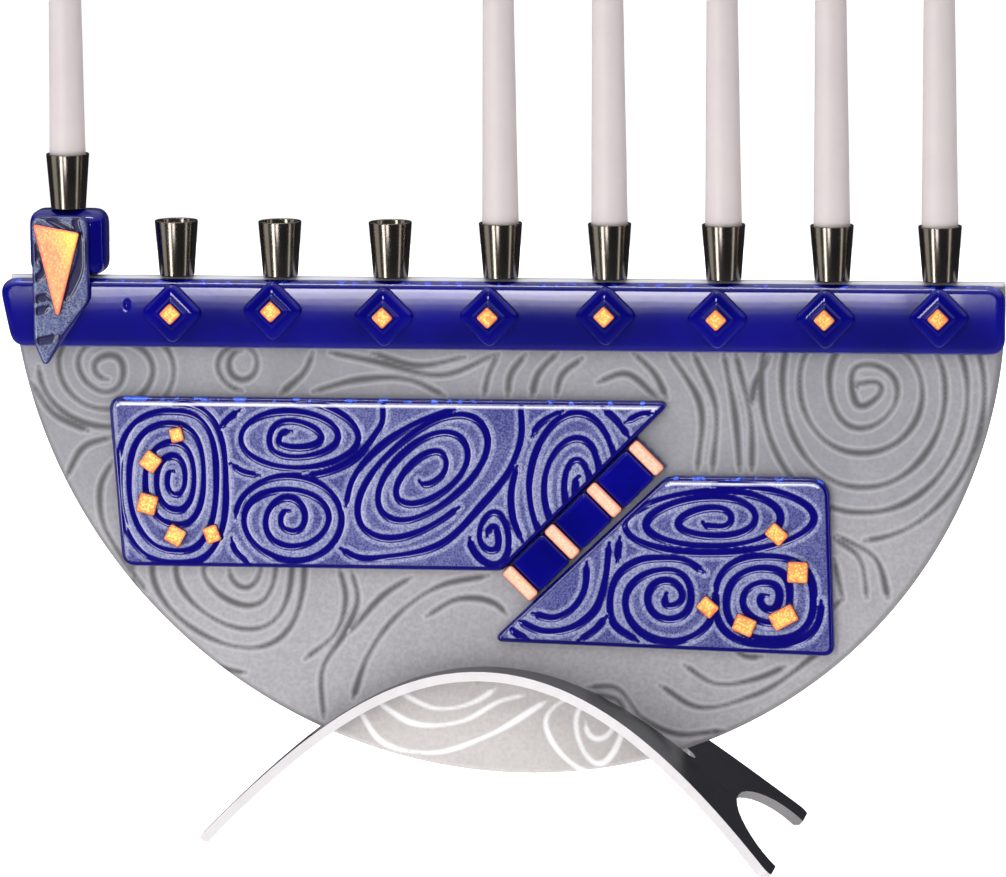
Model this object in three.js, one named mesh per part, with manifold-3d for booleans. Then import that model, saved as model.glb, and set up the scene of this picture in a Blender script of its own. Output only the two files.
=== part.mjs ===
// A nine-cup Hanukkah menorah: a fused-glass half disc standing in a bent aluminium strip.
// Millimetres. +X runs along the row of cups, +Z is up, and the glass faces -Y.
// The origin is on the table, under the middle of the object.

import * as THREE from 'three';
import { mergeVertices } from 'three/addons/utils/BufferGeometryUtils.js';
import Module from 'manifold-3d';

const wasm = await Module();
wasm.setup();

// ---------- Driving dimensions ----------

const fuse_gap = 0.3; // left between pieces that are fused or glued face to face

// Glass plate: a half disc with its straight edge up
const plate_radius = 165.5;
const plate_thickness = 6;
const plate_sink = 36; // how far its lowest point hangs below the top of the arch
const plate_centre_x = 0.5;
const plate_lean = 0.034; // how far the belly drifts to +X for each mm of depth
const plate_softening = 1.2; // rounding of its rim

// Blue bar along the top
const bar_overhang = 2; // past each end of the plate
const bar_centre_x = -1.2;
const bar_height = 22.8;
const bar_thickness = 4;
const bar_drop = 0.7; // its top lies this far under the plate's top edge
const bar_end_slant = 4.6; // how far the left end runs in by the bottom edge
const bar_corner_radius = 4.5;
const bar_softening = 1.4;

// Cups and the candles in them
const cup_count = 8; // besides the shamash's own
const row_left_inset = 19.8; // from the plate's left end to the shamash
const row_right_inset = 21.2; // from the last cup to the plate's right end
const cup_y = -1.5;
const cup_height = 18.4;
const cup_rim_radius = 7.15;
const cup_base_radius = 5.8;
const cup_wall = 0.7;
const cup_floor = 2;
const candle_length = 150;
const candle_clearance = 0.35;
const candle_taper = 0.0118; // radius lost for each mm above the rim
const candle_tip_length = 11;
const wick_radius = 0.8;
const wick_length = 7;
const first_lit_cup = 4; // cups 1 to 3 are empty

// Shamash: the raised block at the left end that holds the ninth cup
const shamash_width = 25.6;
const shamash_height = 21.7;
const shamash_corner_radius = 4;
const shamash_softening = 1.6;
const overlay_thickness = 2.6;
const overlay_left_reach = 11.2; // from the shamash's middle line
const overlay_right_reach = 8;
const overlay_top_margin = 1.2; // under the top of the block
const overlay_tail_drop = 18.6; // its pointed tail, under the bar's middle
const overlay_softening = 0.6;

// Diamonds on the bar, one under each cup, and their gold squares
const diamond_side = 15.4;
const diamond_corner_radius = 2.2;
const diamond_thickness = 3;
const diamond_softening = 1.3;
const diamond_gold_side = 5.5;
const diamond_rise = 0.5; // how far the row of diamonds lies above the bar's middle

// The inlay on the plate: its places and lengths are drawn for a plate of this radius,
// measured from the middle of the straight edge, and scaled to the real plate.
const inlay_radius = 165.5;

// Patterned blue panels, given by their corners: distance to +X and depth below the edge
const panel_left_corners = [[-128.7, 96.9], [-1.1, 97.1], [56.3, 39.7], [-132.7, 39.9]];
const panel_left_radii = [4, 2.5, 1.4, 4];
const panel_right_corners = [[-5.4, 120.8], [109.4, 124.2], [107.9, 64.5], [54.1, 64.6]];
const panel_right_radii = [1.4, 3, 6, 5];
const panel_thickness = 3;
const panel_softening = 1;
const gold_thickness = 1.2;
const gold_softening = 0.35;
const gold_corner_radius = 0.8;

// Diagonal band of copper strips and blue squares between the panels
const diagonal_start = [5.1, 100.9]; // middle of the lowest copper strip
const diagonal_angle = Math.PI / 4;
const diagonal_pitch = 19.95;
const diagonal_thickness = 3.6;
const diagonal_softening = 0.8;
const diagonal_corner_radius = 1.2;
const copper_width = 4.7;
const copper_length = 13.4;
const square_gap = 0.35;

// Stand: a tapered strip bent into an arch, with a slot for the glass and a forked tail
const strip_thickness = 3.2;
const crown_height = 60; // top of the arch above the table
const crown_x = -5.8;
const left_leg_slope = 47 * Math.PI / 180; // the angle that the single leg settles to
const right_leg_slope = 46 * Math.PI / 180; // the angle that the forked leg settles to
const bend_length = 60;
const foot_half_width = 9;
const tail_half_width = 57;
const flare_power = 3.2; // how late along the strip its width opens out
const strip_corner_radius = 4;
const foot_flat_depth = 0.8; // ground off the underside of each tip
const slot_clearance = 0.5;
const prong_width = 17;
const notch_depth = 23.5;
const notch_power = 1.8;

// ---------- Worked-out places ----------

const plate_top = crown_height - plate_sink + plate_radius;
const bar_length = 2 * (plate_radius + bar_overhang);
const shamash_x = plate_centre_x - plate_radius + row_left_inset;
const cup_pitch = (2 * plate_radius - row_left_inset - row_right_inset) / cup_count;
const inlay_scale = plate_radius / inlay_radius;
const plate_front = -plate_thickness / 2;
const laid_on_plate = plate_front - fuse_gap;
const bar_front = laid_on_plate - bar_thickness;
const laid_on_bar = bar_front - fuse_gap;
const laid_on_diamond = laid_on_bar - diamond_thickness - fuse_gap;
const laid_on_panel = laid_on_plate - panel_thickness - fuse_gap;
const bar_top = plate_top - bar_drop;
const bar_middle = bar_top - bar_height / 2;
const cup_base_z = plate_top + fuse_gap;
const shamash_base_z = plate_top + fuse_gap;
const shamash_cup_z = shamash_base_z + shamash_height + fuse_gap;

// ---------- Finishes ----------

function finish(color, roughness, metalness) {
  return () => new THREE.MeshStandardMaterial({ color, roughness, metalness });
}

const aluminium = finish(0xc9cacc, 0.35, 1);
const silver_glass = finish(0xb2b2b6, 0.3, 0.3);
const blue_glass = finish(0x0a0a86, 0.08, 0);
const patterned_glass = finish(0x3b46a0, 0.3, 0);
const gold_glass = finish(0xf5ab4a, 0.35, 0.6);
const copper_glass = finish(0xf0a888, 0.35, 0.5);
const nickel = finish(0x8c8678, 0.25, 1);
const wax = finish(0xece4e2, 0.5, 0);

// ---------- Shared shape helpers ----------

const menorah = new THREE.Group();

function addMesh(name, geometry, material, x = 0, y = 0, z = 0, turn = 0) {
  const mesh = new THREE.Mesh(geometry, material());
  mesh.name = name;
  mesh.position.set(x, y, z);
  mesh.rotation.y = turn;
  menorah.add(mesh);
}

// An outline through the corners, each one rounded by an arc of its own radius.
function roundedOutline(corners, radii) {
  const shape = new THREE.Shape();
  corners.forEach((corner, i) => {
    const to_before = corners[(i + corners.length - 1) % corners.length].clone().sub(corner).normalize();
    const to_after = corners[(i + 1) % corners.length].clone().sub(corner).normalize();
    const radius = Array.isArray(radii) ? radii[i] : radii;
    const half_angle = Math.acos(to_before.dot(to_after)) / 2;
    const arrive = corner.clone().addScaledVector(to_before, radius / Math.tan(half_angle));
    const leave = corner.clone().addScaledVector(to_after, radius / Math.tan(half_angle));
    const inward = to_before.clone().add(to_after).normalize();
    const centre = corner.clone().addScaledVector(inward, radius / Math.sin(half_angle));
    const turns_back = to_before.cross(to_after) > 0;
    shape.absarc(centre.x, centre.y, radius,
      arrive.sub(centre).angle(), leave.sub(centre).angle(), turns_back);
  });
  shape.closePath();
  return shape;
}

function corner(x, z) {
  return new THREE.Vector2(x, z);
}

function rectangle(width, height, radius) {
  const w = width / 2;
  const h = height / 2;
  return roundedOutline([corner(-w, -h), corner(w, -h), corner(w, h), corner(-w, h)], radius);
}

// A slab of glass that stands in the XZ plane: back face at y = 0, front face at y = -thickness.
function slab(shape, thickness, softening, bevelSegments = 1) {
  const geometry = new THREE.ExtrudeGeometry(shape, {
    depth: thickness - 2 * softening,
    bevelEnabled: true,
    bevelThickness: softening,
    bevelSize: softening,
    bevelOffset: -softening,
    bevelSegments,
    curveSegments: bevelSegments + 1,
  });
  geometry.translate(0, 0, softening);
  geometry.rotateX(Math.PI / 2);
  return geometry;
}

function turned(profile, segments) {
  const geometry = new THREE.LatheGeometry(profile.map(([r, z]) => corner(r, z)), segments);
  geometry.rotateX(Math.PI / 2);
  return geometry;
}

function toSolid(geometry) {
  const bare = geometry.clone();
  bare.deleteAttribute('normal');
  bare.deleteAttribute('uv');
  const merged = mergeVertices(bare, 1e-4);
  return new wasm.Manifold(new wasm.Mesh({
    numProp: 3,
    vertProperties: new Float32Array(merged.attributes.position.array),
    triVerts: new Uint32Array(merged.index.array),
  }));
}

function toGeometry(solid) {
  const { vertProperties, triVerts } = solid.getMesh();
  const geometry = new THREE.BufferGeometry();
  geometry.setAttribute('position', new THREE.BufferAttribute(vertProperties, 3));
  geometry.setIndex(new THREE.BufferAttribute(triVerts, 1));
  geometry.computeVertexNormals();
  return geometry;
}

// ---------- Glass plate ----------

// The plate's rim, as a distance to either side of its leaning middle line at a height z.
function plateEdgeX(z, side) {
  const depth = plate_top - z;
  const halfChord = Math.sqrt(Math.max(plate_radius ** 2 - depth ** 2, 0));
  return plate_centre_x + plate_lean * depth + side * halfChord;
}

function addPlate() {
  const rim_steps = 64;
  const points = [];
  for (let i = 0; i <= rim_steps; i += 1) {
    const angle = Math.PI * i / rim_steps;
    const depth = plate_radius * Math.sin(angle);
    points.push(corner(
      plate_centre_x - plate_radius * Math.cos(angle) + plate_lean * depth,
      plate_top - depth,
    ));
  }
  addMesh('glass_plate', slab(new THREE.Shape(points), plate_thickness, plate_softening), silver_glass,
    0, -plate_front, 0);
}

// ---------- Blue bar, diamonds and shamash ----------

function addBar() {
  const half = bar_length / 2;
  const h = bar_height / 2;
  const outline = roundedOutline([
    corner(-half + bar_end_slant, -h),
    corner(half, -h),
    corner(half, h),
    corner(-half, h),
  ], bar_corner_radius);
  addMesh('top_bar', slab(outline, bar_thickness, bar_softening, 2), blue_glass,
    bar_centre_x, laid_on_plate, bar_middle);
}

// The diamonds were laid by hand, so each sits a little off the place under its cup.
const diamond_nudges = [
  [-0.8, 0.1], [-3.3, 1.2], [-2.3, -0.5], [-3.5, -0.2],
  [-1.1, 0.4], [-0.3, -0.3], [-0.9, 0], [0.2, 0.6],
];

function goldSquare(width, height) {
  return slab(rectangle(width, height, gold_corner_radius), gold_thickness, gold_softening);
}

function addDiamonds() {
  diamond_nudges.forEach(([dx, dz], i) => {
    const x = shamash_x + (i + 1) * cup_pitch + dx;
    const z = bar_middle + diamond_rise + dz;
    const diamond = slab(rectangle(diamond_side, diamond_side, diamond_corner_radius),
      diamond_thickness, diamond_softening);
    const square = goldSquare(diamond_gold_side, diamond_gold_side);
    addMesh(`diamond_${i + 1}`, diamond, blue_glass, x, laid_on_bar, z, Math.PI / 4);
    addMesh(`diamond_gold_${i + 1}`, square, gold_glass, x, laid_on_diamond, z, Math.PI / 4);
  });
}

function addShamash() {
  const depth = bar_thickness + fuse_gap + plate_thickness;
  const block = rectangle(shamash_width, shamash_height, shamash_corner_radius);
  addMesh('shamash_block', slab(block, depth, shamash_softening), blue_glass,
    shamash_x, -plate_front, shamash_base_z + shamash_height / 2);

  // The patterned piece hangs from the block over the bar, and ends in a pointed tail.
  const top = shamash_base_z + shamash_height - overlay_top_margin;
  const left = shamash_x - overlay_left_reach;
  const right = shamash_x + overlay_right_reach;
  const overlay = roundedOutline([
    corner(left + 0.2, bar_middle - 9.4),
    corner(left + 4, bar_middle - overlay_tail_drop),
    corner(left + 10, bar_middle - 7.4),
    corner(right, bar_middle + 4.6),
    corner(right, top),
    corner(left, top),
  ], [3, 1.2, 6, 4, 3, 3]);
  const overlay_slab = slab(overlay, overlay_thickness, overlay_softening);
  addMesh('shamash_overlay', overlay_slab, patterned_glass, 0, laid_on_bar, 0);

  const laid_on_overlay = laid_on_bar - overlay_thickness - fuse_gap;
  const triangle = roundedOutline([
    corner(shamash_x - 2.4, bar_middle - 2.6),
    corner(shamash_x + 5.6, top - 5.4),
    corner(shamash_x - 10.4, top - 2.4),
  ], gold_corner_radius);
  addMesh('shamash_triangle', slab(triangle, gold_thickness, gold_softening), gold_glass,
    0, laid_on_overlay, 0);
}

// ---------- Patterned panels with their gold squares ----------

// Each gold square: its centre to +X and below the edge, its width, height and turn in degrees.
const gold_left = [
  [-109.4, 52.4, 4.6, 5, 14],
  [-118.3, 61.5, 6.2, 6.2, -37],
  [-119.6, 75.7, 6.6, 6.8, -15],
  [-110.4, 86.2, 6.2, 6.2, -28],
  [-98, 85.6, 5.2, 5.8, 20],
];
const gold_right = [
  [90.6, 83.3, 6.8, 5.4, -42],
  [97.5, 95.9, 7, 7.2, -2],
  [92.7, 111, 9, 6.2, 28],
  [79.7, 113.8, 7.2, 6.2, -23],
  [67.6, 107.9, 6.4, 5.4, -42],
];

// The place of an inlay point on the plate, measured from the middle of the straight edge.
function onPlate([across, depth]) {
  return corner(plate_centre_x + across * inlay_scale, plate_top - depth * inlay_scale);
}

function panel(corners, radii) {
  return slab(roundedOutline(corners.map(onPlate), radii), panel_thickness, panel_softening);
}

function addPanels() {
  const left = panel(panel_left_corners, panel_left_radii);
  const right = panel(panel_right_corners, panel_right_radii);
  addMesh('panel_left', left, patterned_glass, 0, laid_on_plate, 0);
  addMesh('panel_right', right, patterned_glass, 0, laid_on_plate, 0);
  addGoldSquares('panel_left_gold', gold_left);
  addGoldSquares('panel_right_gold', gold_right);
}

function addGoldSquares(name, squares) {
  squares.forEach(([across, depth, width, height, turn], i) => {
    const centre = onPlate([across, depth]);
    const radians = -turn * Math.PI / 180;
    addMesh(`${name}_${i + 1}`, goldSquare(width, height), gold_glass,
      centre.x, laid_on_panel, centre.y, radians);
  });
}

function addDiagonalBand() {
  const pitch = diagonal_pitch * inlay_scale;
  const strip_width = copper_width * inlay_scale;
  const square_length = pitch - strip_width - 2 * square_gap;
  const start = onPlate(diagonal_start);
  const lay = (name, width, material, steps) => {
    const outline = rectangle(width, copper_length * inlay_scale, diagonal_corner_radius);
    addMesh(name, slab(outline, diagonal_thickness, diagonal_softening), material,
      start.x + Math.cos(diagonal_angle) * pitch * steps,
      laid_on_plate,
      start.y + Math.sin(diagonal_angle) * pitch * steps,
      -diagonal_angle);
  };
  for (let i = 0; i < 4; i += 1) {
    lay(`diagonal_copper_${i + 1}`, strip_width, copper_glass, i);
  }
  for (let i = 0; i < 3; i += 1) {
    lay(`diagonal_blue_${i + 1}`, square_length, blue_glass, i + 0.5);
  }
}

// ---------- Cups and candles ----------

// The cup's bore widens evenly from its floor to the rim.
function boreRadius(height) {
  const t = (height - cup_floor) / (cup_height - cup_floor);
  const floor_radius = cup_base_radius - cup_wall;
  const rim_radius = cup_rim_radius - cup_wall;
  return floor_radius + (rim_radius - floor_radius) * t;
}

function cup() {
  const foot_chamfer = 0.35;
  const waist = cup_height / 2;
  const waist_radius = cup_base_radius + 0.2;
  const lip_height = 1.1;
  const lip_swell = 0.35;
  return turned([
    [0, 0],
    [cup_base_radius - foot_chamfer, 0],
    [cup_base_radius, foot_chamfer],
    [waist_radius, waist],
    [cup_rim_radius - lip_swell, cup_height - lip_height],
    [cup_rim_radius, cup_height - lip_height / 2],
    [cup_rim_radius - lip_swell / 2, cup_height],
    [boreRadius(cup_height), cup_height],
    [boreRadius(cup_floor), cup_floor],
    [0, cup_floor],
  ], 24);
}

function candle() {
  const seat = cup_floor + candle_clearance;
  const rim_radius = boreRadius(cup_height) - candle_clearance;
  const above_rim = seat + candle_length - cup_height;
  const shoulder = cup_height + above_rim - candle_tip_length;
  const shoulder_radius = rim_radius - candle_taper * (shoulder - cup_height);
  const tip = shoulder + candle_tip_length;
  return turned([
    [0, seat],
    [boreRadius(seat) - candle_clearance, seat],
    [rim_radius, cup_height],
    [shoulder_radius, shoulder],
    [shoulder_radius * 0.86, shoulder + candle_tip_length * 0.4],
    [shoulder_radius * 0.55, shoulder + candle_tip_length * 0.78],
    [wick_radius, tip],
    [wick_radius, tip + wick_length],
    [0, tip + wick_length],
  ], 18);
}

// The cups were glued by eye, so each stands a little off the even pitch.
const cup_nudges = [0, -1.5, -0.8, -0.3, -0.3, 1.2, 0.7, 0];

function addCupsAndCandles() {
  addMesh('cup_shamash', cup(), nickel, shamash_x, cup_y, shamash_cup_z);
  addMesh('candle_shamash', candle(), wax, shamash_x, cup_y, shamash_cup_z);
  for (let i = 1; i <= cup_count; i += 1) {
    const x = shamash_x + i * cup_pitch + cup_nudges[i - 1];
    addMesh(`cup_${i}`, cup(), nickel, x, cup_y, cup_base_z);
    if (i >= first_lit_cup) {
      addMesh(`candle_${i}`, candle(), wax, x, cup_y, cup_base_z);
    }
  }
}

// ---------- Stand ----------

// The strip's slope at a distance from the crown; it is negative towards the left foot.
function stripSlope(distance) {
  const leg_slope = distance < 0 ? left_leg_slope : right_leg_slope;
  return leg_slope * Math.tanh(distance / bend_length);
}

// One leg of the arch, walked from the crown in short steps until its tip reaches the table.
const walk_step = 0.25;

function walkLeg(side) {
  const points = [{ run: 0, drop: 0 }];
  let last = points[0];
  let slope = 0;
  while (crown_height - last.drop - strip_thickness * Math.cos(slope) > -foot_flat_depth) {
    slope = Math.abs(stripSlope(side * (points.length - 0.5) * walk_step));
    last = {
      run: last.run + walk_step * Math.cos(slope),
      drop: last.drop + walk_step * Math.sin(slope),
    };
    points.push(last);
  }
  return { points, length: (points.length - 1) * walk_step };
}

const left_leg = walkLeg(-1);
const right_leg = walkLeg(1);

// A point of the strip, at a distance along it from the crown and a depth below its top face.
function stripPoint(distance, below = 0) {
  const { points } = distance < 0 ? left_leg : right_leg;
  const place = Math.min(Math.abs(distance) / walk_step, points.length - 1);
  const before = points[Math.floor(place)];
  const after = points[Math.min(Math.floor(place) + 1, points.length - 1)];
  const part = place - Math.floor(place);
  const run = before.run + (after.run - before.run) * part;
  const drop = before.drop + (after.drop - before.drop) * part;
  const slope = stripSlope(distance);
  return {
    x: crown_x + Math.sign(distance) * run - below * Math.sin(slope),
    z: crown_height - drop - below * Math.cos(slope),
  };
}

function stripHalfWidth(distance) {
  const along = (distance + left_leg.length) / (left_leg.length + right_leg.length);
  const full = foot_half_width + (tail_half_width - foot_half_width) * along ** flare_power;
  const to_end = Math.min(distance + left_leg.length, right_leg.length - distance);
  const into_corner = Math.max(strip_corner_radius - to_end, 0);
  return full - strip_corner_radius + Math.sqrt(strip_corner_radius ** 2 - into_corner ** 2);
}

// Places along one leg where its section is taken, from the tip to near the crown:
// close together round the corners of the tip.
function legStations(length) {
  const corner_steps = 4;
  const leg_steps = 26;
  const places = [];
  for (let i = 0; i < corner_steps; i += 1) {
    const turn = Math.PI / 2 * i / corner_steps;
    places.push(length - strip_corner_radius * (1 - Math.cos(turn)));
  }
  for (let i = 0; i < leg_steps; i += 1) {
    places.push((length - strip_corner_radius) * (1 - i / leg_steps));
  }
  return places;
}

function stripStations() {
  const left = legStations(left_leg.length).map((distance) => -distance);
  return [...left, 0, ...legStations(right_leg.length).reverse()];
}

function bentStrip() {
  const stations = stripStations();
  const count = stations.length - 1;
  const geometry = new THREE.BoxGeometry(count, 2, 1, count, 1, 1);
  const place = geometry.attributes.position;
  for (let i = 0; i < place.count; i += 1) {
    const distance = stations[Math.round(place.getX(i) + count / 2)];
    const below = place.getZ(i) > 0 ? 0 : strip_thickness;
    const point = stripPoint(distance, below);
    place.setXYZ(i, point.x, place.getY(i) * stripHalfWidth(distance), point.z);
  }
  return toSolid(geometry);
}

// Where the strip's top face runs out from under the plate's rim, on one side.
function slotEndX(side) {
  let distance = 0;
  let point = stripPoint(distance);
  while (side * (plateEdgeX(point.z, side) + side * slot_clearance - point.x) > 0) {
    distance += side * walk_step;
    point = stripPoint(distance);
  }
  return point.x;
}

// The slot is cut straight down, with round ends that start where the glass ends.
function slotCutter() {
  const radius = plate_thickness / 2 + slot_clearance;
  const shape = new THREE.Shape();
  shape.absarc(slotEndX(1), 0, radius, -Math.PI / 2, Math.PI / 2);
  shape.absarc(slotEndX(-1), 0, radius, Math.PI / 2, Math.PI * 3 / 2);
  const overshoot = 5;
  const geometry = new THREE.ExtrudeGeometry(shape, {
    depth: crown_height + 2 * overshoot,
    bevelEnabled: false,
    curveSegments: 8,
  });
  geometry.translate(0, 0, -overshoot);
  return toSolid(geometry);
}

// The fork is cut square to the strip from its right-hand end.
function notchCutter() {
  const steps = 20;
  const mouth = tail_half_width - prong_width;
  const overshoot = 6;
  const points = [corner(overshoot, -mouth), corner(overshoot, mouth)];
  for (let i = 0; i <= steps; i += 1) {
    const across = Math.cos(Math.PI * i / steps);
    const reach = (1 - Math.abs(across) ** notch_power) ** (1 / notch_power);
    points.push(corner(-notch_depth * reach, mouth * across));
  }
  const height = 4 * strip_thickness;
  const geometry = new THREE.ExtrudeGeometry(new THREE.Shape(points), {
    depth: height,
    bevelEnabled: false,
  });
  geometry.translate(0, 0, -height / 2);
  geometry.rotateY(stripSlope(right_leg.length));
  const end = stripPoint(right_leg.length, strip_thickness / 2);
  geometry.translate(end.x, 0, end.z);
  return toSolid(geometry);
}

function belowTable() {
  const reach = 2 * (left_leg.length + right_leg.length);
  const depth = 20;
  const geometry = new THREE.BoxGeometry(reach, reach, depth);
  geometry.translate(0, 0, -depth / 2);
  return toSolid(geometry);
}

function addStand() {
  const strip = bentStrip();
  const slotted = strip.subtract(slotCutter());
  const forked = slotted.subtract(notchCutter());
  addMesh('stand_arch', toGeometry(forked.subtract(belowTable())), aluminium);
}

addStand();
addPlate();
addBar();
addDiamonds();
addShamash();
addPanels();
addDiagonalBand();
addCupsAndCandles();

export default menorah;
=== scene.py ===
# %% [markdown]
# A fused-glass Hanukkah menorah. A half disc of silvery glass stands upright in the slot of
# a bent aluminium strip. Blue bars, diamonds, patterned panels and gold and copper tiles are
# fused to its front, and nine metal cups along its straight edge hold the candles.
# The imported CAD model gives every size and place; this script makes the surfaces.

# %% Load the frame
import math

import bmesh
import bpy
import numpy as np
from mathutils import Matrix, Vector, noise
from mathutils.geometry import delaunay_2d_cdt
from mathutils.kdtree import KDTree


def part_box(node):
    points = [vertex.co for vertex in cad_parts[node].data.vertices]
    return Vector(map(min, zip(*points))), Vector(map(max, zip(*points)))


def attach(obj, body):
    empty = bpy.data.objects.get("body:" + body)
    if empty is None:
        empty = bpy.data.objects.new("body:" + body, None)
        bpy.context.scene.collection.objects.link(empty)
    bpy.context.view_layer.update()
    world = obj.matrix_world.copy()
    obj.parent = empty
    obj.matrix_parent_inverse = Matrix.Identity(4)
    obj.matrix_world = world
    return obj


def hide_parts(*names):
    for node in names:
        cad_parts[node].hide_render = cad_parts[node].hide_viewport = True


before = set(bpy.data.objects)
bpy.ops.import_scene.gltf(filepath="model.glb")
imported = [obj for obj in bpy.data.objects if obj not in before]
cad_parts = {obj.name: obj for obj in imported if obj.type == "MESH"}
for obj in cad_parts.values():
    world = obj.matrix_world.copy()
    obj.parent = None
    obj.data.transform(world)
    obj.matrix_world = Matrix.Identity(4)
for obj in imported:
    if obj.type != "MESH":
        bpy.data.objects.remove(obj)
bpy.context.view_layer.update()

scene = bpy.context.scene
mm = 0.001

# %% [markdown]
# The plate sets the layout. Its straight edge is at the top, and everything fused to it is
# placed by two numbers in millimetres: across, from the middle of that edge towards +X, and
# depth, straight down from it. Two small functions turn these into the frame's metres.

# %% Places on the plate
plate_low, plate_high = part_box("glass_plate")
plate_radius = plate_high.z - plate_low.z
plate_middle = plate_low.x + plate_radius
plate_lean = 0.034  # the belly of the half disc drifts this much to +X for each unit of depth


def on_plate(points):
    """Places given as (across, depth) in millimetres, as an array of x and z in metres."""
    across, depth = np.array(points, float).T * mm
    return np.column_stack([plate_middle + across, plate_high.z - depth])


print(f"plate radius {plate_radius / mm:.1f} mm, straight edge {plate_high.z / mm:.1f} mm high")

# %% [markdown]
# The camera stands three metres away with a long lens, a little to the right and a little
# above, so the glass shows almost square on and the tops of the cups stay open to the eye.
# The candles run out of the top of the picture.

# %% Camera
camera_turn = math.radians(8.3)
camera_rise = math.radians(8.3)
camera_distance = 3.0
aim = Vector((-0.0006, 0, 0.136))

camera = bpy.data.objects.new("camera", bpy.data.cameras.new("camera"))
scene.collection.objects.link(camera)
scene.camera = camera
camera.data.lens = 324.6
camera.data.sensor_width = 36
camera.data.clip_end = 20
camera.location = aim + camera_distance * Vector((
    math.sin(camera_turn) * math.cos(camera_rise),
    -math.cos(camera_turn) * math.cos(camera_rise),
    math.sin(camera_rise),
))
camera_roll = math.radians(0.58)
camera.rotation_euler = (aim - camera.location).to_track_quat("-Z", "Y").to_euler()
camera.rotation_euler.rotate_axis("Z", -camera_roll)
scene.view_settings.view_transform = "Standard"
print("camera at", [round(v, 3) for v in camera.location])

# %% [markdown]
# A shader is a sum of small steps, and it reads best as plain arithmetic. Wire wraps the
# output of a node, and each operator on it adds one Math node. Recipe wraps a node tree: its
# one method adds any other node from its type, its settings and its sockets.


# %% Arithmetic on shader sockets
class Wire:
    """The output of a node; arithmetic on it adds Math nodes."""

    def __init__(self, recipe, socket):
        self.recipe = recipe
        self.socket = socket

    def _math(self, operation, first, second):
        settings = {"operation": operation}
        return self.recipe.node("ShaderNodeMath", settings, {0: first, 1: second})

    def __add__(self, other):
        return self._math("ADD", self, other)

    def __radd__(self, other):
        return self._math("ADD", other, self)

    def __sub__(self, other):
        return self._math("SUBTRACT", self, other)

    def __rsub__(self, other):
        return self._math("SUBTRACT", other, self)

    def __mul__(self, other):
        return self._math("MULTIPLY", self, other)

    def __rmul__(self, other):
        return self._math("MULTIPLY", other, self)


class Recipe:
    """A node tree that is filled one step at a time."""

    def __init__(self, tree):
        self.tree = tree
        tree.nodes.clear()

    def node(self, kind, settings=None, sockets=None, output=0):
        """Adds a node: first its settings, then the values or links of its sockets."""
        made = self.tree.nodes.new(kind)
        for key, value in (settings or {}).items():
            if key == "stops":
                self._set_stops(made.color_ramp.elements, value)
            else:
                setattr(made, key, value)
        for key, value in (sockets or {}).items():
            if isinstance(value, Wire):
                self.tree.links.new(value.socket, made.inputs[key])
            else:
                made.inputs[key].default_value = value
        return Wire(self, made.outputs[output]) if len(made.outputs) else None

    @staticmethod
    def _set_stops(elements, stops):
        while len(elements) < len(stops):
            elements.new(0.5)
        for element, (place, color) in zip(elements, stops):
            element.position = place
            element.color = color

    def step(self, value, start, end):
        """Runs smoothly from 0 at start to 1 at end."""
        settings = {"interpolation_type": "SMOOTHSTEP"}
        sockets = {"Value": value, "From Min": start, "From Max": end}
        return self.node("ShaderNodeMapRange", settings, sockets)

    def blend(self, amount, first, second):
        """Runs from one colour to another."""
        sockets = {"Factor": amount, 6: first, 7: second}
        return self.node("ShaderNodeMix", {"data_type": "RGBA"}, sockets, output=2)


print("Wire and Recipe are ready")

# %% [markdown]
# Colours are easier to judge as they look on screen, but shaders want linear light. This
# helper takes the screen values from 0 to 255 and gives the linear colour.


# %% Colours
def screen(red, green, blue):
    """A colour given by its screen values, as the linear colour that shaders use."""
    def linear(value):
        value /= 255
        return value / 12.92 if value < 0.04045 else ((value + 0.055) / 1.055) ** 2.4
    return (linear(red), linear(green), linear(blue), 1)


cobalt = screen(3, 0, 118)
print("cobalt glass in linear light:", [round(v, 3) for v in cobalt[:3]])

# %% [markdown]
# The studio is a white table in a dim room. The eye sees white behind the object, while
# glass and metal reflect the room: dim at eye level, so the cobalt stays deep, and lighter
# overhead. A ramp over the direction's height gives that fall of light.


# %% Room
def make_room():
    world = bpy.data.worlds.new("room")
    scene.world = world
    world.use_nodes = True
    recipe = Recipe(world.node_tree)
    direction = recipe.node("ShaderNodeTexCoord", output=0)
    height = recipe.node("ShaderNodeSeparateXYZ", sockets={0: direction}, output=2)
    fall = recipe.node("ShaderNodeValToRGB", {"stops": [
        (0.0, (0.14, 0.14, 0.16, 1)),
        (0.42, (0.04, 0.04, 0.05, 1)),
        (0.62, (0.04, 0.04, 0.05, 1)),
        (1.0, (0.75, 0.75, 0.8, 1)),
    ]}, {0: height * 0.5 + 0.5})
    seen = recipe.node("ShaderNodeLightPath", output=0)
    dim = recipe.node("ShaderNodeBackground", sockets={0: fall, 1: 1.0})
    white = recipe.node("ShaderNodeBackground", sockets={0: (1, 1, 1, 1), 1: 1.05})
    mixed = recipe.node("ShaderNodeMixShader", sockets={0: seen, 1: dim, 2: white})
    recipe.node("ShaderNodeOutputWorld", sockets={0: mixed})


make_room()
print("world:", scene.world.name)

# %% [markdown]
# The table is a pale sheet that glows a little, so it stays white right up to the object. It
# is hidden from mirror rays: the upright glass would reflect it and its colour would wash out.


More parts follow.
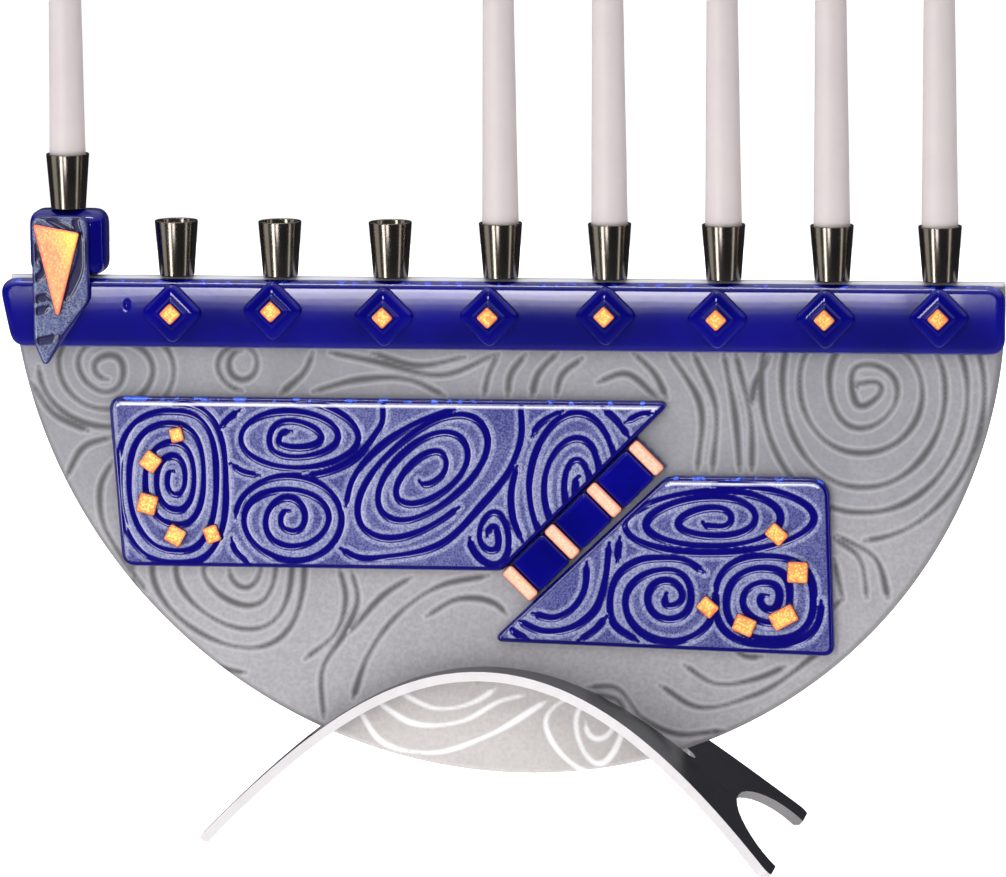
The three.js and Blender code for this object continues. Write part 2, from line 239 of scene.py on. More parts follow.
# %% Table
def make_table():
    table_front, table_back, table_side = -0.42, 1.6, 1.3
    mesh = bpy.data.meshes.new("table")
    corners = [(-table_side, table_front, 0), (table_side, table_front, 0),
               (table_side, table_back, 0), (-table_side, table_back, 0)]
    mesh.from_pydata(corners, [], [(0, 1, 2, 3)])
    table = bpy.data.objects.new("table", mesh)
    scene.collection.objects.link(table)
    material = bpy.data.materials.new("table_white")
    material.use_nodes = True
    recipe = Recipe(material.node_tree)
    grain = recipe.node("ShaderNodeTexNoise", sockets={"Scale": 40.0, "Detail": 4.0})
    color = recipe.blend(grain, (0.93, 0.93, 0.93, 1), (0.96, 0.96, 0.96, 1))
    surface = recipe.node("ShaderNodeBsdfPrincipled", sockets={
        "Base Color": color, "Roughness": 0.8,
        "Emission Color": (1, 1, 1, 1), "Emission Strength": 1.0,
    })
    recipe.node("ShaderNodeOutputMaterial", sockets={0: surface})
    mesh.materials.append(material)
    table.visible_glossy = False


make_table()

# %% [markdown]
# Glass is shown by what it mirrors. The lights that do the lighting are hidden from mirror
# rays, so the rounded edges of the cobalt stay dark. What the glass and the cups mirror is
# built apart from them: a stack of low strips straight ahead, each dimmer than the one
# above, which fades down the bar's face; tall cards for the cups; and one small glint. The
# cards are linked to a set of pieces, because the ends of the plain cobalt would catch them.


# %% Lights
card_lit = bpy.data.collections.new("card_lit")  # every piece but the plain cobalt ones


def softbox(name, place, size, power, tint=(1, 1, 1), mirrored=True):
    lamp = bpy.data.lights.new(name, "AREA")
    lamp.shape = "RECTANGLE"
    lamp.size, lamp.size_y = size
    lamp.energy = power
    lamp.color = tint
    box = bpy.data.objects.new(name, lamp)
    scene.collection.objects.link(box)
    box.location = place
    target = Vector((0, 0, 0.13))
    box.rotation_euler = (target - box.location).to_track_quat("-Z", "Y").to_euler()
    box.visible_glossy = mirrored
    return box


def reflected(name, place, size, brightness, tint=(1, 1, 1)):
    """A softbox given by how bright it looks, rather than by its power."""
    return softbox(name, place, size, brightness * math.pi * size[0] * size[1], tint)


def cup_card(name, place, size, brightness):
    """A card for the cups, which the plain cobalt glass doesn't mirror."""
    reflected(name, place, size, brightness).light_linking.receiver_collection = card_lit


lilac = (0.93, 0.9, 1)
strip_height = 0.1
strip_top = 0.38

softbox("key", (-0.9, -1.6, 1.7), (1.2, 1.0), 14.5, mirrored=False)
softbox("fill", (1.3, -1.3, 1.2), (0.8, 0.8), 4.5, mirrored=False)
softbox("overhead", (0, 0.2, 2.2), (2.0, 1.6), 20, mirrored=False)
for row, brightness in enumerate([9, 7, 4.5, 1.6, 0.4]):
    place = (-0.366, -2.6, strip_top - row * strip_height)
    reflected(f"strip_{row + 1}", place, (0.522, strip_height), brightness, lilac)
cup_card("cup_streak", (-0.82, -1.4, 0.0), (0.26, 1.4), 7.5)
cup_card("cup_left", (-1.55, -0.5, 0.1), (0.8, 1.4), 0.7)
cup_card("cup_right", (1.4, -0.7, 0.1), (0.25, 1.2), 1.4)
reflected("glint", (-0.25, -0.9, 1.7), (0.6, 0.12), 14)

# %% [markdown]
# Most pieces are sheets of glass cut to an outline. Their outlines already exist in the CAD
# model, so they are read back from its meshes: the vertices half way through the thickness,
# sorted round their middle. A moving average then turns the faceted corners into round ones.


# %% Outlines
def closed_path(points, spacing):
    """A closed outline with evenly spaced points."""
    loop = np.vstack([points, points[:1]])
    steps = np.hypot(*np.diff(loop, axis=0).T)
    along = np.concatenate([[0], np.cumsum(steps)])
    count = max(int(along[-1] / spacing), 12)
    at = np.linspace(0, along[-1], count, endpoint=False)
    return np.column_stack([np.interp(at, along, loop[:, k]) for k in (0, 1)])


def soften_corners(points, passes):
    for _ in range(passes):
        points = (np.roll(points, 1, 0) + 2 * points + np.roll(points, -1, 0)) / 4
    return points


def outline_of(node, spacing, corner_passes=6):
    """A CAD slab's outline in x and z, anticlockwise as seen from the front."""
    vertices = np.array([v.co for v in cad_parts[node].data.vertices])
    low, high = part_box(node)
    off_middle = np.abs(vertices[:, 1] - (low.y + high.y) / 2)
    ring = vertices[off_middle < off_middle.min() + 1e-5][:, [0, 2]]
    ring = np.unique(np.round(ring, 6), axis=0)
    middle = (ring.min(0) + ring.max(0)) / 2
    turn = np.arctan2(*(ring - middle).T[::-1])
    return soften_corners(closed_path(ring[np.argsort(turn)], spacing), corner_passes)


print("the bar's outline has", len(outline_of("top_bar", 1 * mm)), "points")

# %% [markdown]
# A tile of glass is built as a fine honeycomb of points inside its outline. Closely spaced
# rings follow the edge, so the rounded rim is real geometry. Delaunay triangulation joins the
# points, and each one is then pushed back by the rim's curve and by the tile's own relief.


# %% Point helpers
def kd_tree(points):
    tree = KDTree(len(points))
    for i, (x, z) in enumerate(points):
        tree.insert((x, z, 0), i)
    tree.balance()
    return tree


def distances(tree, points):
    return np.array([tree.find((x, z, 0))[2] for x, z in points])


def inside(outline, points):
    """True for the points inside a closed outline."""
    result = np.zeros(len(points), bool)
    x, z = points.T
    for (x0, z0), (x1, z1) in zip(outline, np.roll(outline, -1, 0)):
        if z0 != z1:
            crosses = (z0 > z) != (z1 > z)
            result ^= crosses & (x < x0 + (x1 - x0) * (z - z0) / (z1 - z0))
    return result


def honeycomb(outline, spacing):
    low, high = outline.min(0), outline.max(0)
    rows = np.arange(low[1], high[1], spacing * math.sqrt(3) / 2)
    columns = np.arange(low[0], high[0], spacing)
    x = columns[None, :] + (np.arange(len(rows)) % 2)[:, None] * spacing / 2
    z = np.repeat(rows[:, None], len(columns), 1)
    points = np.column_stack([x.ravel(), z.ravel()])
    return points[inside(outline, points)]


def inward_rings(rim, rounding, count):
    """Copies of the rim, stepped inwards so that they divide its rounding evenly."""
    along = np.roll(rim, -1, 0) - np.roll(rim, 1, 0)
    inward = np.column_stack([-along[:, 1], along[:, 0]])
    inward /= np.hypot(*inward.T)[:, None]
    turns = np.linspace(0, math.pi / 2, count + 1)[1:]
    return [rim + inward * rounding * (1 - math.cos(turn)) for turn in turns]


def smooth_step(value, start, end):
    t = np.clip((value - start) / (end - start), 0, 1)
    return t * t * (3 - 2 * t)


def between(value, start, end, soft):
    """1 between start and end, and 0 outside them, with soft borders."""
    return smooth_step(value, start, start + soft) * (1 - smooth_step(value, end - soft, end))


print("half way up a smooth step:", smooth_step(0.5, 0, 1))

# %% [markdown]
# The points of a sheet are joined by Delaunay triangulation, which makes the most even
# triangles that the points allow, so the face shades smoothly. The rim's own edges are kept.


# %% Sheet
def sheet_points(rim, rounding, spacing):
    rings = inward_rings(rim, rounding, 5)
    rings = [ring[inside(rim, ring)] for ring in rings]
    grid = honeycomb(rim, spacing)
    tree = kd_tree(rim)
    grid = grid[distances(tree, grid) > rounding + spacing / 2]
    return np.vstack([rim, *rings, grid])


def triangulate(points, rim_count):
    edges = [(i, (i + 1) % rim_count) for i in range(rim_count)]
    flat = [Vector(p) for p in points]
    places, _, faces, *_ = delaunay_2d_cdt(flat, edges, [], 1, 1e-9, False)
    return np.array([(p.x, p.y) for p in places]), faces


sample_rim = closed_path(outline_of("diamond_1", 1 * mm), 1 * mm)
sample_points, sample_faces = triangulate(sheet_points(sample_rim, 2 * mm, 1 * mm), len(sample_rim))
print("a coarse diamond has", len(sample_points), "points and", len(sample_faces), "triangles")

# %% [markdown]
# The mesh of a tile has three parts: the front just described, a wall straight back from
# the rim, and a flat back. Numbers that the shader needs, such as the distance to the rim or
# to a drawn line, travel with the vertices as attributes, in millimetres.


# %% Tile
def tile(name, outline, front, back, rounding, spacing, relief=None, marks=None, two_faced=False):
    """A glass tile. relief(points, inset) is how far the front lies back from its plane."""
    rim = closed_path(outline, spacing)
    points, faces = triangulate(sheet_points(rim, rounding, spacing), len(rim))
    inset = distances(kd_tree(closed_path(rim, spacing / 4)), points)
    inset[:len(rim)] = 0
    fall = rounding - np.sqrt(np.maximum(rounding**2 - np.maximum(rounding - inset, 0)**2, 0))
    if relief:
        fall = fall + relief(points, inset)
    count = len(points)
    front_face = np.column_stack([points[:, 0], front + fall, points[:, 1]])
    rim_ids = list(range(len(rim)))
    faces = [tuple(face) for face in faces]
    if two_faced:
        back_face = np.column_stack([points[:, 0], back - fall, points[:, 1]])
        back_faces = [tuple(count + i for i in reversed(face)) for face in faces]
    else:
        back_face = np.column_stack([rim[:, 0], np.full(len(rim), back), rim[:, 1]])
        back_faces = [tuple(count + i for i in reversed(rim_ids))]
    wall = [(i, count + i, count + j, j) for i, j in zip(rim_ids, rim_ids[1:] + rim_ids[:1])]
    mesh = bpy.data.meshes.new(name)
    mesh.from_pydata(np.vstack([front_face, back_face]), [], faces + back_faces + wall)
    values = {"inset": inset / mm}
    for key, rule in (marks or {}).items():
        values[key] = rule(points, inset)
    for key, value in values.items():
        spread = np.zeros(len(mesh.vertices), np.float32)
        spread[:count] = value
        if two_faced:
            spread[count:] = value
        mesh.attributes.new(key, "FLOAT", "POINT").data.foreach_set("value", spread)
    mesh.polygons.foreach_set("use_smooth", [True] * len(mesh.polygons))
    mesh.set_sharp_from_angle(angle=math.radians(50))
    piece = bpy.data.objects.new(name, mesh)
    scene.collection.objects.link(piece)
    return piece


def top_band(outline, start, end):
    """A mark for a band under the level upper edge, between two distances from the rim."""
    reach = (end + 0.6) * mm

    def rule(points, inset):
        glass_above = [inside(outline, points + (side * reach, reach)) for side in (1, -1)]
        return ~(glass_above[0] | glass_above[1]) * between(inset / mm, start, end, 0.3)
    return rule


def settle(piece, material, slot, *nodes, body="glass"):
    """Gives a finished piece its material, and lets it stand for its CAD nodes."""
    piece.data.materials.append(material)
    if material not in (cobalt_blue, bar_blue):
        card_lit.objects.link(piece)
    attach(piece, body)
    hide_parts(*nodes)


print("tiles carry their distance to the rim in millimetres")

# %% [markdown]
# The swirls were drawn by hand before the glass was fired. A spiral is described the way a
# person would measure it: its centre, and how far it reaches at each quarter turn. Between
# these the width and the height grow smoothly, which keeps its hand-drawn, uneven look.


# %% Swirls
def smooth_through(places, values, at):
    """A smooth curve through the values, level beyond its ends."""
    places, values = np.array(places, float), np.array(values, float)
    slope = np.gradient(values, places)
    i = np.clip(np.searchsorted(places, at, side="right") - 1, 0, len(places) - 2)
    span = places[i + 1] - places[i]
    t = np.clip((at - places[i]) / span, 0, 1)
    start = values[i] * (1 + 2 * t) * (1 - t)**2 + slope[i] * span * t * (1 - t)**2
    end = values[i + 1] * t**2 * (3 - 2 * t) + slope[i + 1] * span * t**2 * (t - 1)
    return start + end


def spiral(centre, reaches, start, turning=1, tilt=0.0, squareness=0.0):
    """Start counts quarter turns from +X; turning is 1 for anticlockwise and -1 for clockwise."""
    quarters = np.arange(len(reaches)) + start
    reaches = np.array(reaches, float)
    sideways = quarters % 2 == 0
    at = np.linspace(quarters[0], quarters[-1], 20 * len(reaches))
    wide = smooth_through(quarters[sideways], reaches[sideways], at)
    tall = smooth_through(quarters[~sideways], reaches[~sideways], at)
    power = 1 - squareness * (at - at[0]) / (at[-1] - at[0])
    cosine, sine = np.cos(turning * at * math.pi / 2), np.sin(turning * at * math.pi / 2)
    x = wide * np.sign(cosine) * np.abs(cosine)**power
    up = tall * np.sign(sine) * np.abs(sine)**power
    return np.column_stack([
        centre[0] + x * math.cos(tilt) - up * math.sin(tilt),
        centre[1] - x * math.sin(tilt) - up * math.cos(tilt),
    ])


def sweep(points):
    """A smooth open line through a few places."""
    points = np.array(points, float)
    along = np.concatenate([[0], np.cumsum(np.hypot(*np.diff(points, axis=0).T))])
    at = np.linspace(0, along[-1], 12 * len(points))
    return np.column_stack([smooth_through(along, points[:, k], at) for k in (0, 1)])


print("a spiral of four quarters has", len(spiral((0, 0), [1, 2, 3, 4], 0)), "points")

# %% [markdown]
# A drawing is a set of such lines. Any point can ask it how far the nearest line is, and from
# that one number come both the groove in the mesh and the colour of the line. The lines
# swell and thin a little as they run, and they narrow at their ends, as trailed glass does.


# %% Drawing
class Drawing:
    """Lines drawn on the plate, and the distance from any point to the edge of the nearest."""

    def __init__(self, lines, width, taper=2.0, wobble=0.15):
        dots, halves = [], []
        for line in lines:
            along = np.concatenate([[0], np.cumsum(np.hypot(*np.diff(line, axis=0).T))])
            at = np.arange(0, along[-1], 0.3)
            ends = np.clip(np.minimum(at, along[-1] - at) / taper, 0.5, 1)
            uneven = 1 + wobble * np.sin(at / 6.0 + line[0, 0]) * np.sin(at / 13.0)
            dots.append(np.column_stack([np.interp(at, along, line[:, k]) for k in (0, 1)]))
            halves.append(width / 2 * ends * uneven)
        self.halves = np.concatenate(halves)
        self.tree = kd_tree(on_plate(np.vstack(dots)))

    def field(self, points, _inset=None):
        """Millimetres to the edge of the nearest line, negative inside it."""
        found = [self.tree.find((x, z, 0)) for x, z in points]
        return np.array([distance / mm - self.halves[i] for _, i, distance in found])


def groove(drawing, depth):
    """The relief of a drawing: each line is a shallow rounded groove."""
    def relief(points, inset):
        cut = 1 - smooth_step(drawing.field(points), -0.7, 0.35)
        return depth * cut * smooth_step(inset / mm, 0.8, 2.0)
    return relief


short_line = Drawing([sweep([(0, 50), (10, 50), (20, 50)])], width=2)
print("a point on a line:", short_line.field(on_plate([(10, 50)])), "mm")

# %% [markdown]
# The left panel holds six spirals. The tall one at its left end has the most turns; the
# big one near the middle leans over; and the last is cut off by the diagonal edge. Single
# lines fill the corners between them.

# %% Lines of the left panel
left_lines = [
    spiral((-110.4, 67.7), [2.9, 2.3, 4.9, 3.7, 8.0, 5.9, 10.2, 6.7, 12.6, 9.7, 15.1, 9.9,
                            18.8, 15.2, 24.0, 14.2, 23.0, 19.0, 28.0, 17.4, 25.4],
           start=1, squareness=0.25),
    spiral((-70.7, 53.1), [2.1, 4.0, 3.3, 9.9, 5.5, 7.4, 6.6, 15.5, 8.7, 17.0, 10.3, 22.4, 12.4],
           start=1),
    spiral((-71.7, 80.4), [2.8, 3.0, 4.1, 5.1, 7.1, 8.0, 9.3, 13.1, 9.7, 15.4, 13.9, 17.4,
                           14.4, 18.3], start=1),
    spiral((-24.8, 64.0), [4.6, 3.6, 7.1, 5.7, 13.9, 8.0, 15.4, 10.3, 20.9, 11.3, 23.7,
                           13.3, 29.3, 15.2], start=2, tilt=0.7, squareness=0.1),
    spiral((-3.7, 85.7), [2.1, 3.5, 1.8, 4.3, 4.5, 8.3, 5.2, 9.1, 7.9], start=2, turning=-1),
    spiral((25.2, 68.4), [3.5, 1.4, 4.5, 3.3, 8.8, 5.0, 15.0, 6.5, 16.0, 11.7, 21.0, 12.5,
                          24.5, 16.7, 27.0], start=1),
    sweep([(-40, 41), (-40.5, 48), (-43, 52), (-50, 60), (-59, 64.5), (-66.5, 66)]),
    sweep([(-91.5, 62), (-88, 64.5), (-81.5, 66)]),
    sweep([(-95, 50.5), (-92, 47), (-88, 44)]),
    sweep([(-91.5, 87), (-90.5, 90.5), (-85, 96)]),
    sweep([(-53, 76), (-50.5, 67), (-42, 56.5), (-30, 48.5), (-16, 43)]),
    sweep([(-55, 90), (-51, 92.5), (-37.5, 92.5), (-22, 88.5), (-7.5, 75), (2.5, 62),
           (6, 52), (6, 41)]),
    sweep([(6, 87), (3, 79), (2.5, 71), (4.5, 61.5)]),
    sweep([(9.5, 52), (11.5, 48.5), (20, 43)]),
    sweep([(33, 42), (38, 46.5), (42, 52)]),
    sweep([(40.5, 47), (45, 44.5), (52, 43)]),
]
left_drawing = Drawing(left_lines, width=2.6)
print("lines on the left panel:", len(left_lines))

# %% [markdown]
# The right panel has a flat, wide spiral above two round ones. Long lines run from its pointed
# corner up beside the diagonal band, and one more climbs between the spirals.

# %% Lines of the right panel
right_lines = [
    spiral((70.0, 79.4), [4.0, 1.8, 5.4, 4.4, 12.0, 5.0, 13.5, 7.9, 22.7, 8.5, 21.9, 9.9,
                          29.7, 10.7, 33.0, 12.0], start=2, tilt=0.05),
    spiral((54.3, 105.2), [1.7, 0.8, 2.7, 4.9, 5.9, 6.7, 7.2, 7.9, 9.4, 14.3, 14.8, 16.0],
           start=1, tilt=0.2, squareness=0.1),
    spiral((87.6, 105.4), [1.4, 2.6, 3.2, 3.6, 5.6, 8.4, 7.7, 7.1, 10.4, 13.8, 13.1, 15.0,
                           14.4, 17.6, 14.9, 17.5], start=1, squareness=0.25),
    sweep([(27.5, 93.5), (26.5, 103), (21.5, 110), (16, 112.5), (9, 111)]),
    sweep([(35, 87), (33.5, 99.5), (30, 109.5), (22.5, 115.5), (12.5, 117), (4, 113.5)]),
    sweep([(38.5, 85), (37.5, 93.5)]),
    sweep([(34, 111.5), (29.5, 116.5), (24, 120)]),
    sweep([(1, 115.5), (4, 118), (8, 120)]),
    sweep([(66.5, 96.5), (61, 93), (52.5, 92), (44.5, 93), (38, 97.5), (35.2, 105.5),
           (36, 113.5), (44.5, 120)]),
]
right_drawing = Drawing(right_lines, width=2.7)
print("lines on the right panel:", len(right_lines))

# %% [markdown]
# The plate's own swirls are wider apart, and the panels, the bar and the arch hide parts of
# them. The biggest fills the right end, and one shows in the part that hangs below the arch.

# %% Lines of the plate
plate_lines = [
    spiral((-133.1, 30.6), [4.0, 4.5, 4.0, 5.2, 8.2, 9.8, 9.3, 15.2, 14.0, 16.5, 15.0, 22.3,
                            20.0, 23.3], start=1, turning=-1),
    spiral((-88.0, 29.3), [4.6, 4.2, 5.0, 5.2, 6.5, 8.0, 8.6], start=1),
    spiral((-87.8, 98.1), [5.3, 6.0, 5.3, 6.5, 14.0, 12.0, 10.3, 13.0, 23.3, 20.0, 15.8, 20.0,
                           31.3, 26.3, 20.0, 26.0, 38.0, 34.7], start=2),
    spiral((119.1, 34.9), [2.0, 1.5, 5.9, 6.0, 3.8, 7.6, 11.1, 13.4, 11.2, 16.2, 19.3, 21.7,
                           21.1, 22.4, 26.9, 33.1, 26.8, 27.3, 34.2, 41.5, 33.8, 33.1, 39.8,
                           50.8], start=-2, turning=-1, squareness=0.1),
    spiral((30.1, 147.7), [4.0, 5.7, 5.5, 6.0, 7.3, 14.0, 8.7, 9.0, 17.5, 18.0], start=2),
    sweep([(-159, 36), (-152, 46), (-140, 52)]),
    sweep([(-132, 54), (-141, 57), (-148, 68)]),
    sweep([(-132, 62), (-136, 70), (-136, 81), (-129, 95), (-121, 106)]),
    sweep([(-56, 97), (-54, 107), (-57, 118), (-68, 128)]),
    sweep([(-52, 98), (-50, 107), (-54, 118), (-62, 131), (-62, 148)]),
    sweep([(-32, 100), (-40, 105), (-53, 119)]),
    sweep([(-6, 99), (-23, 103), (-36, 112), (-47, 127), (-52, 141)]),
    sweep([(-27, 113), (-16, 107), (-3, 109), (0, 112)]),
    sweep([(-36, 139), (-24, 144), (-10, 141), (-4, 137)]),
    sweep([(-44, 142), (-32, 149), (-15, 148), (-2, 141), (6, 139)]),
    sweep([(-50, 145), (-43, 155), (-27, 159), (-7, 153), (13, 141)]),
    sweep([(-58, 25), (-42, 28), (-20, 32), (-3, 25)]),
    sweep([(-44, 25), (-29, 29), (-13, 26)]),
    sweep([(-64, 25), (-66, 30), (-75, 39)]),
    sweep([(-64, 38), (-49, 34), (-31, 34), (-20, 39)]),
    sweep([(-2, 25), (-5, 31), (-7, 39)]),
    sweep([(7, 25), (2, 32), (1, 39)]),
    sweep([(18, 24), (11, 32), (9, 39)]),
    sweep([(26, 26), (19, 32), (17, 39)]),
    sweep([(31, 34), (40, 31), (51, 39)]),
    sweep([(43, 24), (50, 31), (54, 39)]),
    sweep([(55, 24), (65, 41), (64, 63)]),
    sweep([(63, 24), (70, 41), (69, 63)]),
    sweep([(73, 24), (77, 48), (78, 63)]),
    sweep([(77, 24), (82, 48), (82, 63)]),
    sweep([(88, 25), (83, 35), (82, 41)]),
    sweep([(109, 85), (117, 91), (120, 105)]),
    sweep([(110, 84), (123, 92), (127, 105)]),
    sweep([(109, 92), (112, 106)]),
    sweep([(105, 114), (108, 109), (112, 105)]),
    sweep([(75, 122), (80, 125), (85, 125)]),
    sweep([(59, 128), (69, 134), (84, 132), (93, 128)]),
    sweep([(51, 135), (63, 142), (82, 138), (108, 120)]),
    sweep([(27, 136), (36, 136), (45, 146), (55, 151), (72, 150)]),
]
plate_drawing = Drawing(plate_lines, width=1.9, wobble=0.3)
print("lines on the plate:", len(plate_lines))

# %% [markdown]
# Every finish needs the same few things: a shader joined to the output, the marks that the
# mesh carries, grain of a given size, and bumps. Each is made once here.


# %% Finish helpers
def surface_of(recipe, sockets):
    shader = recipe.node("ShaderNodeBsdfPrincipled", sockets=sockets)
    recipe.node("ShaderNodeOutputMaterial", sockets={0: shader})


def new_recipe(name):
    material = bpy.data.materials.new(name)
    material.use_nodes = True
    return material, Recipe(material.node_tree)


def place_in_object(recipe):
    return recipe.node("ShaderNodeTexCoord", output=3)


def attribute(recipe, name):
    return recipe.node("ShaderNodeAttribute", {"attribute_name": name}, output=2)


def speckle(recipe, size, detail=3.0):
    """Grain of about this size in millimetres, from 0 to 1."""
    sockets = {"Vector": place_in_object(recipe), "Scale": 1000 / size, "Detail": detail}
    return recipe.node("ShaderNodeTexNoise", sockets=sockets)


def bump(recipe, height, strength, distance):
    sockets = {"Height": height, "Strength": strength, "Distance": distance * mm}
    return recipe.node("ShaderNodeBump", sockets=sockets)


def painted_glint_dashes(recipe):
    """Painted highlights: short bright strokes along an upper edge."""
    return attribute(recipe, "brow") * recipe.step(speckle(recipe, 3.2, 1.0), 0.56, 0.64)


print("grain of 1 mm has a noise scale of", 1000 / 1.0)

# %% [markdown]
# The silver glass of the plate is mottled grey with a pearly surface. Its drawn lines are dark
# grey down the middle, and a painted highlight makes their shoulders lighter. The colour is
# painted lighter towards the bottom, as painted light from the table. Where the plate hangs
# below the arch it is painted pale and its lines white, as painted light from the table coming
# through it. The colours are laid over each other in the order that a glazier would: base,
# cloud, grain, shoulders, rim and lines.


# %% Silver glass
def silver_glass():
    material, recipe = new_recipe("silver_glass")
    line = 1 - recipe.step(attribute(recipe, "line"), -0.9, 0.45)
    shoulder = recipe.step(attribute(recipe, "line"), 0.2, 0.7)
    shoulder = shoulder * (1 - recipe.step(attribute(recipe, "line"), 0.7, 1.6))
    lit = attribute(recipe, "lit")
    grain = speckle(recipe, 1.2)
    cloud = speckle(recipe, 28.0, 2.0)
    base = recipe.blend(recipe.step(cloud, 0.3, 0.7), screen(140, 140, 145), screen(154, 153, 157))
    height = recipe.node("ShaderNodeSeparateXYZ", sockets={0: place_in_object(recipe)}, output=2)
    # Painted light: the silver is painted lighter towards the bottom, for light from the table
    # below.
    base = recipe.blend(0.7 - 0.7 * recipe.step(height, 0.06, 0.15), base, screen(172, 169, 171))
    base = recipe.blend(recipe.step(grain, 0.25, 0.75) * 0.35, base, screen(118, 117, 121))
    # Painted highlight: the shoulders beside each drawn line are painted lighter.
    base = recipe.blend(shoulder * 0.35, base, screen(186, 184, 186))
    rim = 1 - recipe.step(attribute(recipe, "inset"), 0.8, 2.2)
    base = recipe.blend(rim * 0.6, base, screen(112, 109, 109))
    grey = recipe.blend(line * 0.95, base, screen(82, 81, 82))
    grey = recipe.blend(attribute(recipe, "bleed"), grey, screen(22, 16, 96))
    ledge = recipe.step(height, plate_high.z - 1.6 * mm, plate_high.z - 0.6 * mm)
    grey = recipe.blend(ledge * 0.8, grey, screen(226, 226, 232))
    # Painted light: below the arch the silver is painted pale and the lines near white, for light
    # from the table coming through the plate.
    painted_lit_silver = recipe.blend(grain, screen(176, 170, 167), screen(206, 200, 197))
    painted_lit_colour = recipe.blend(line * 0.9, painted_lit_silver, screen(252, 250, 250))
    color = recipe.blend(lit, grey, painted_lit_colour)
    surface_of(recipe, {
        "Base Color": color,
        "Roughness": 0.4 + 0.15 * grain,
        "Coat Weight": 0.3,
        "Coat Roughness": 0.12,
        "Normal": bump(recipe, grain, 0.25, 0.3),
    })
    return material


silver = silver_glass()
print(silver.name, "has", len(silver.node_tree.nodes), "nodes")

# %% [markdown]
# Cobalt is a deep, even blue under a polished skin. The bar came out of the kiln a little
# softer than the diamonds, so the same recipe is used twice with another roughness.


# %% Cobalt glass
def cobalt_glass(name, roughness, specular):
    material, recipe = new_recipe(name)
    depth = speckle(recipe, 24.0, 2.0)
    color = recipe.blend(recipe.step(depth, 0.3, 0.7), screen(0, 0, 110), screen(5, 2, 136))
    # Painted highlight: bright blue dashes along the upper edge.
    color = recipe.blend(painted_glint_dashes(recipe) * 0.8, color, screen(40, 80, 250))
    surface_of(recipe, {
        "Base Color": color,
        "Roughness": roughness + 0.04 * depth,
        "Specular IOR Level": specular,
        "Coat Weight": 1.0,
        "Coat Roughness": 0.03,
        "Normal": bump(recipe, speckle(recipe, 3.0), 0.05, 0.3),
    })
    return material


cobalt_blue = cobalt_glass("cobalt_glass", 0.05, 0.4)
bar_blue = cobalt_glass("bar_glass", 0.12, 1.0)
print("cobalt finishes:", cobalt_blue.name, bar_blue.name)

# %% [markdown]
# The panels are cobalt with a pearly powder on top. The powder is thickest beside the drawn
# lines and missing in them, so the lines show as clear, shiny cobalt between matt banks.


# %% Patterned glass
def patterned_glass():
    material, recipe = new_recipe("patterned_glass")
    line_edge = attribute(recipe, "line")
    inset = attribute(recipe, "inset")
    line = 1 - recipe.step(line_edge, -0.25, 0.3)
    near = 1 - recipe.step(line_edge, 0.8, 1.7)
    grain = recipe.step(speckle(recipe, 0.5), 0.35, 0.65)
    cloud = recipe.step(speckle(recipe, 22.0, 2.0), 0.35, 0.65)
    blue = recipe.blend(grain, screen(26, 28, 112), screen(88, 92, 150))
    pearl = recipe.blend(grain, screen(100, 104, 154), screen(158, 162, 190))
    face = recipe.blend(near * 0.8 + cloud * 0.2, blue, pearl)
    face = recipe.blend(line, face, screen(4, 0, 106))
    color = recipe.blend(1 - recipe.step(inset, 1.4, 1.9), face, screen(4, 0, 100))
    # Painted highlight: a white line just under the panel's upper edge.
    color = recipe.blend(attribute(recipe, "crest") * 0.85, color, screen(236, 236, 250))
    # Painted highlight: bright blue dashes along the upper edge.
    color = recipe.blend(painted_glint_dashes(recipe), color, screen(60, 110, 255))
    surface_of(recipe, {
        "Base Color": color,
        "Roughness": 0.1 + 0.3 * recipe.step(inset, 1.0, 2.0) * (1 - line),
        "Coat Weight": 0.7,
        "Coat Roughness": 0.06,
        "Normal": bump(recipe, grain * recipe.step(line_edge, 0.0, 0.4), 0.15, 0.2),
    })
    return material


patterned = patterned_glass()
print(patterned.name, "has", len(patterned.node_tree.nodes), "nodes")

# %% [markdown]
# The plate's outline is a formula, so its long rim stays perfectly round. The mark called
# lit says which part hangs below the arch, where the strip's top face is above the point; there
# the plate's colour is painted pale, as painted light.
# The mark called bleed says where blue glass ran into the silver, under the diagonal band.


# %% Plate
def arch_height(x):
    """Height of the arch's top face over x, read from the CAD model."""
    vertices = np.array([v.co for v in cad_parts["stand_arch"].data.vertices])
    edge = vertices[np.abs(vertices[:, 1]) > 4 * mm]
    order = np.argsort(edge[:, 0])
    columns = np.round(edge[order][:, 0] / (4 * mm))
    tops_x = [edge[order][columns == c][:, 0].mean() for c in np.unique(columns)]
    tops_z = [edge[order][columns == c][:, 2].max() for c in np.unique(columns)]
    return np.interp(x, tops_x, tops_z)


def below_arch(points, _inset):
    return smooth_step(arch_height(points[:, 0]) - 3 * mm - points[:, 1], -1 * mm, 1 * mm)


def under_the_band(points, _inset):
    """Where blue glass bled into the plate, under the diagonal band between the panels."""
    across, depth = (points[:, 0] - plate_middle) / mm, (plate_high.z - points[:, 1]) / mm
    over, along = (across + depth) / math.sqrt(2), (depth - across) / math.sqrt(2)
    return between(over, 67.2, 81.8, 0.6) * between(along, 5.2, 68.0, 0.6)


